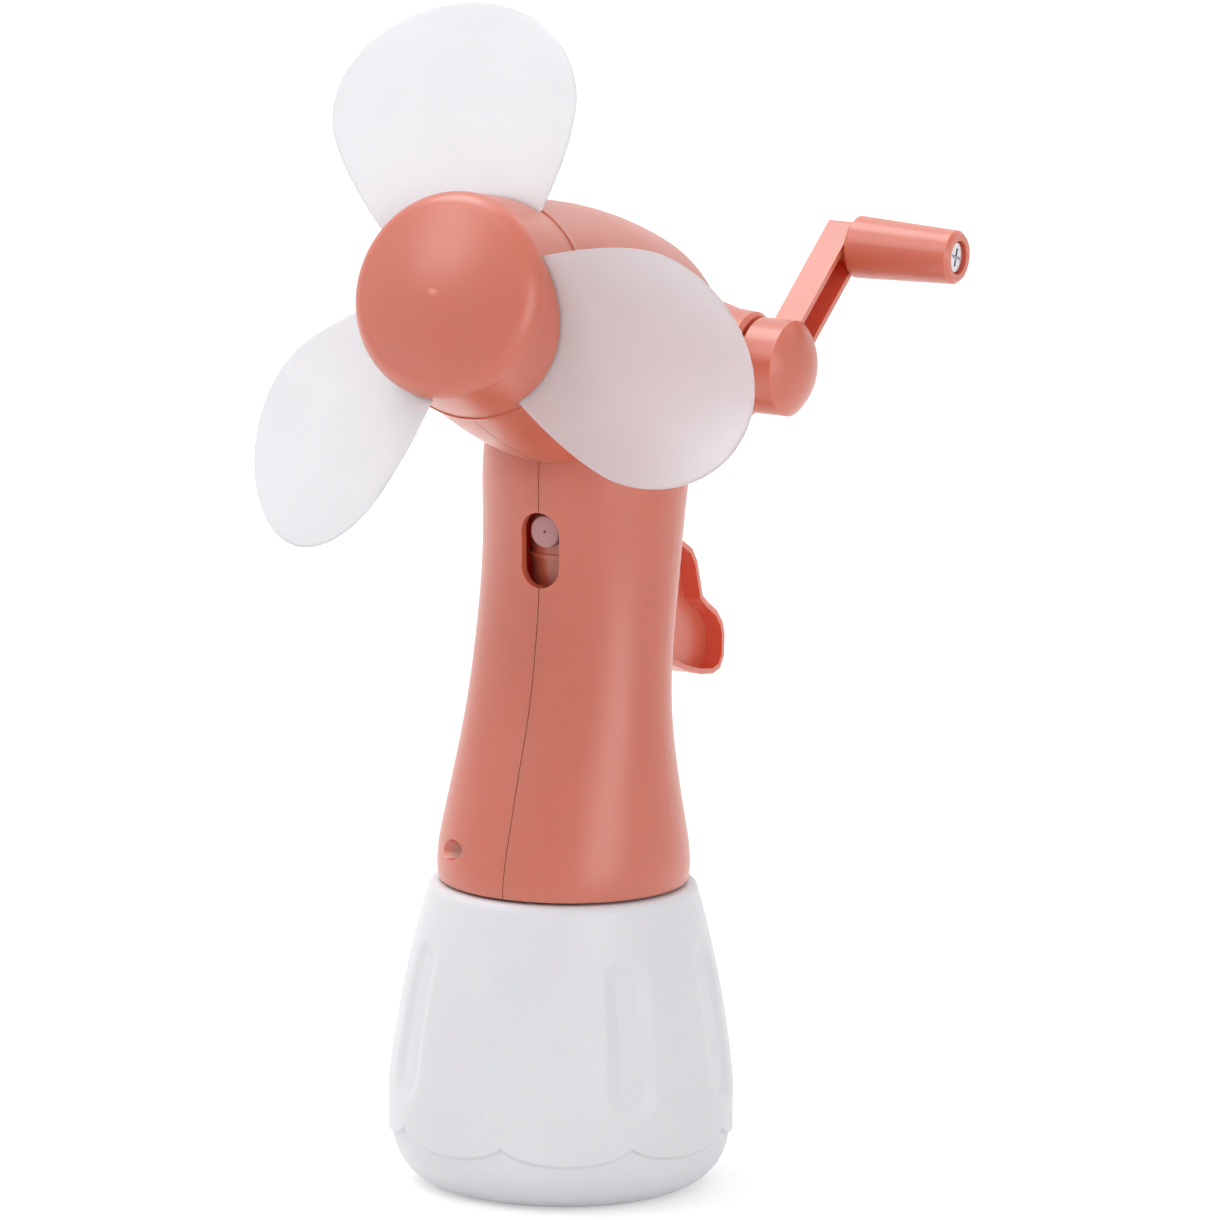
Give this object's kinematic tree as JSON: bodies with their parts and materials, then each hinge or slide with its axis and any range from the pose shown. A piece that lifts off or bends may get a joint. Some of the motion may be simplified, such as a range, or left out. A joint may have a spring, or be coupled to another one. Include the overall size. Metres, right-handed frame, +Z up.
{
  "type": "hand crank misting fan",
  "caption": "Hand cranked misting fan: soft petal blades on a bulb head turned by a side crank, with a trigger water mister and a screw-on bottle as its base.",
  "frame": {"origin": "centre of the bottle's flat base, on the surface it stands on", "axes": "+Z up along the bottle, -Y the way the fan and the spray nozzle face, +X the side of the crank"},
  "size_m": [0.1159, 0.1208, 0.2387],
  "materials": {
    "white_pe": "satin, slightly milky",
    "coral_abs": "fine satin gloss",
    "blade_eva": "soft frosted, translucent",
    "white_pp": "satin",
    "natural_pe": "milky, translucent",
    "acetal": "satin",
    "seal_rubber": "matte",
    "steel": "satin",
    "bright_steel": "bright zinc"
  },
  "bodies": {
    "bottle_body": {"bottle": "white_pe"},
    "seal_body": {"bottle_seal": "seal_rubber"},
    "housing": {"left_shell": "coral_abs", "right_shell": "coral_abs", "shell_screws": "steel", "trigger_pin": "steel", "idler_pin": "steel", "pump_barrel": "white_pp", "pump_gland": "white_pp", "inlet_ball": "steel", "return_spring": "steel", "dip_tube": "natural_pe", "bottle_collar": "white_pp", "tube_grommet": "seal_rubber", "crank_bush_left": "acetal", "crank_bush_right": "acetal", "fan_bush_front": "acetal", "fan_bush_rear": "acetal"},
    "mister": {"actuator_cap": "coral_abs", "pump_stem": "white_pp", "pump_piston": "natural_pe", "nozzle_insert": "natural_pe"},
    "lever": {"trigger": "coral_abs"},
    "crank": {"crank_arm": "coral_abs", "crank_shaft": "steel", "crank_gear": "acetal", "knob_screw": "bright_steel"},
    "knob_body": {"knob": "coral_abs"},
    "idler": {"transfer_gear": "acetal"},
    "fan": {"hub_cap": "coral_abs", "hub_back": "coral_abs", "fan_shaft": "steel", "fan_pinion": "acetal", "blade_1": "blade_eva", "blade_2": "blade_eva", "blade_3": "blade_eva"}
  },
  "joints": [
    {"name": "collar_lift", "type": "slide", "parent": "bottle_body", "child": "seal_body", "axis": [0, 0, 1], "range_m": [0, 0.0061]},
    {"name": "bottle_unscrew", "type": "hinge", "parent": "seal_body", "child": "housing", "pos_m": [0, 0, 0.078], "axis": [0, 0, 1], "range_deg": [0, 720]},
    {"name": "trigger_pull", "type": "hinge", "parent": "housing", "child": "lever", "pos_m": [0, -0.0108, 0.1542], "axis": [-1, 0, 0], "range_deg": [0, 12], "stiffness_Nm_per_rad": 0.4, "springref_deg": -6.88},
    {"name": "pump_stroke", "type": "slide", "parent": "housing", "child": "mister", "axis": [0, 0, -1], "range_m": [0, 0.0036], "deforming": ["return_spring"]},
    {"name": "crank_turn", "type": "hinge", "parent": "housing", "child": "crank", "pos_m": [0, 0.0105, 0.1676], "axis": [1, 0, 0], "continuous": true},
    {"name": "knob_spin", "type": "hinge", "parent": "crank", "child": "knob_body", "pos_m": [0.0553, 0.0382, 0.18765], "axis": [1, 0, 0], "continuous": true},
    {"name": "idler_turn", "type": "hinge", "parent": "housing", "child": "idler", "pos_m": [0, -0.00923, 0.1742], "axis": [1, 0, 0], "continuous": true},
    {"name": "fan_spin", "type": "hinge", "parent": "housing", "child": "fan", "pos_m": [0, 0.0105, 0.1676], "axis": [0, -0.9483, 0.3173], "continuous": true}
  ],
  "couplings": [
    {"joint": "collar_lift", "follows": "bottle_unscrew", "m_per_rad": 0.00047746},
    {"joint": "pump_stroke", "follows": "trigger_pull", "m_per_rad": 0.017},
    {"joint": "idler_turn", "follows": "crank_turn", "ratio": -4.2},
    {"joint": "fan_spin", "follows": "crank_turn", "ratio": 12.6}
  ]
}
